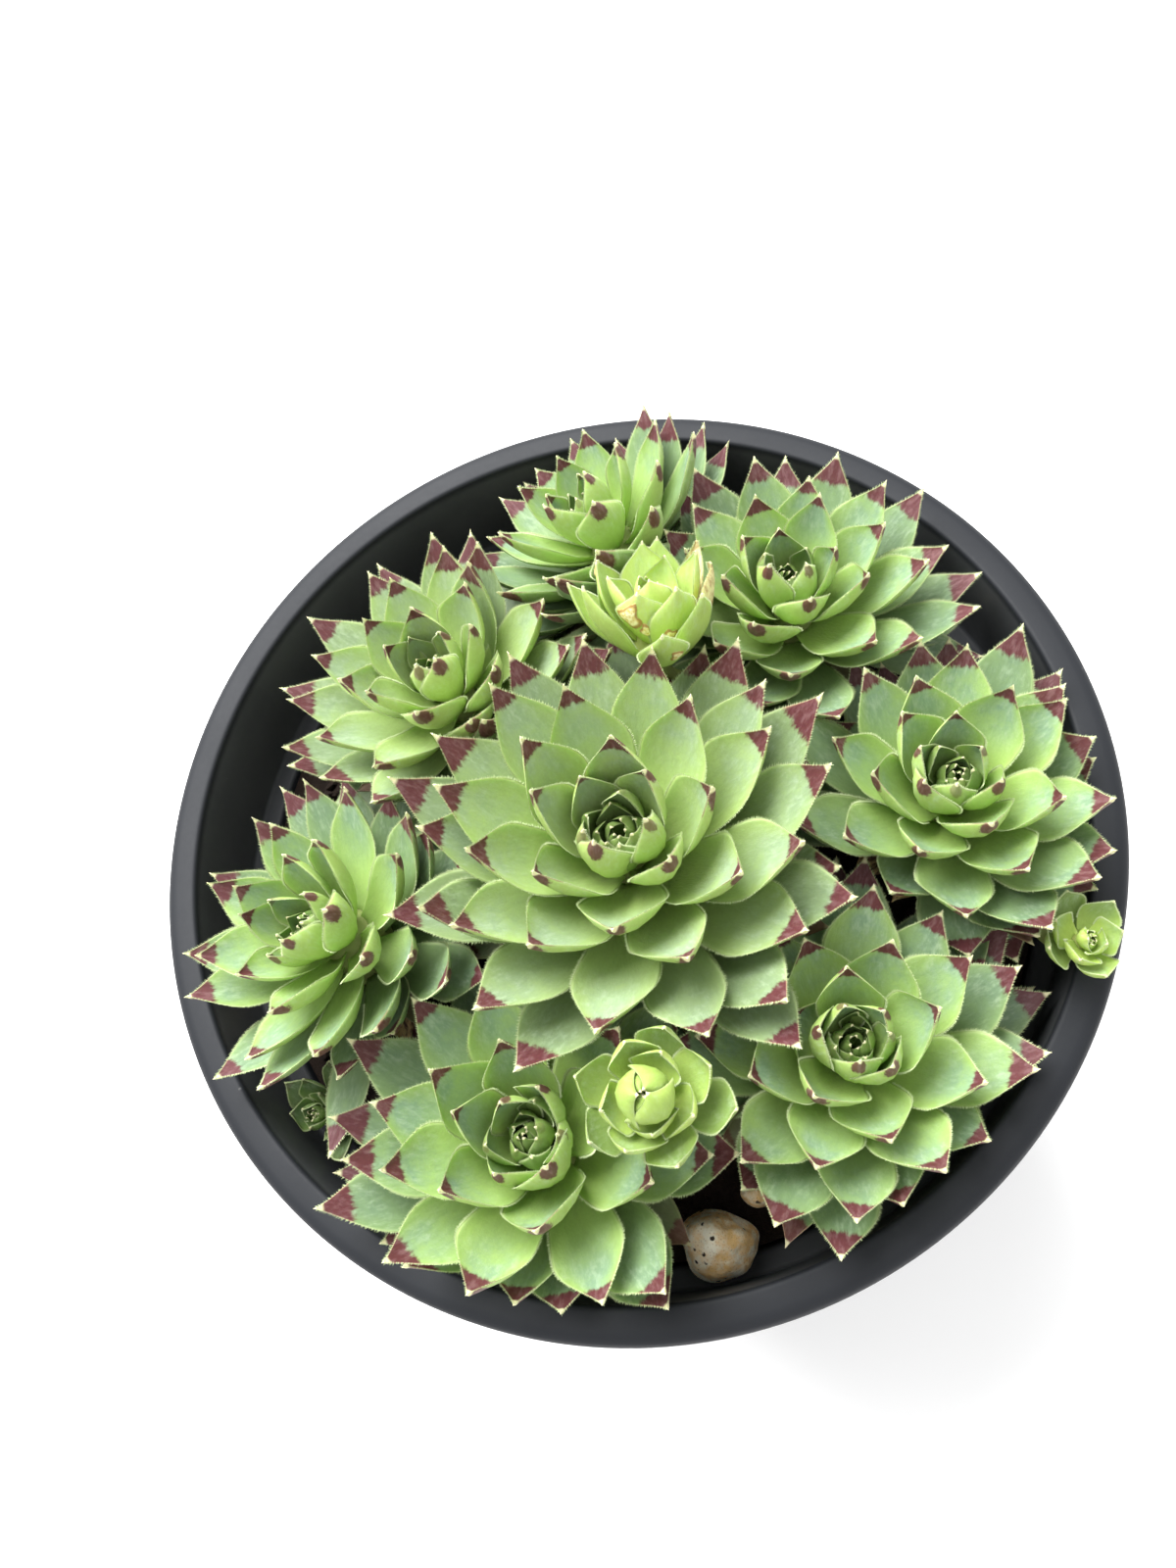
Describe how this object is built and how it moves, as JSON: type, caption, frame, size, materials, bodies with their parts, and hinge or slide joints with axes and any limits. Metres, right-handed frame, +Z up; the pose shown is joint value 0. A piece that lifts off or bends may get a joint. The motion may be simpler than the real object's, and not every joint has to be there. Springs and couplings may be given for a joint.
{
  "type": "potted houseleek clump",
  "caption": "Crowded clump of houseleek rosettes, called hens and chicks, with pointed red-tipped fleshy leaves, in a round tapered plastic nursery pot with a flat rolled rim.",
  "frame": {"origin": "centre of the pot's underside, on the surface it stands on", "axes": "+Z up along the pot's axis, +Y towards the back of the clump and +X to its right"},
  "size_m": [0.165, 0.165, 0.1553],
  "materials": {
    "black_plastic": "satin",
    "potting_mix": "matte",
    "green_leaf": "satin",
    "young_leaf": "satin",
    "pumice": "matte"
  },
  "bodies": {
    "root": {"pot": "black_plastic", "soil": "potting_mix", "hen": "green_leaf", "offset_front_left": "green_leaf", "offset_front_right": "green_leaf", "offset_right": "green_leaf", "offset_left": "green_leaf", "offset_back_left": "green_leaf", "offset_back_right": "green_leaf", "offset_back": "green_leaf", "chick_back": "young_leaf", "chick_front": "young_leaf", "chick_rim": "young_leaf", "chick_low": "young_leaf", "pumice_large": "pumice", "pumice_small": "pumice", "pumice_chip": "pumice"}
  },
  "joints": []
}
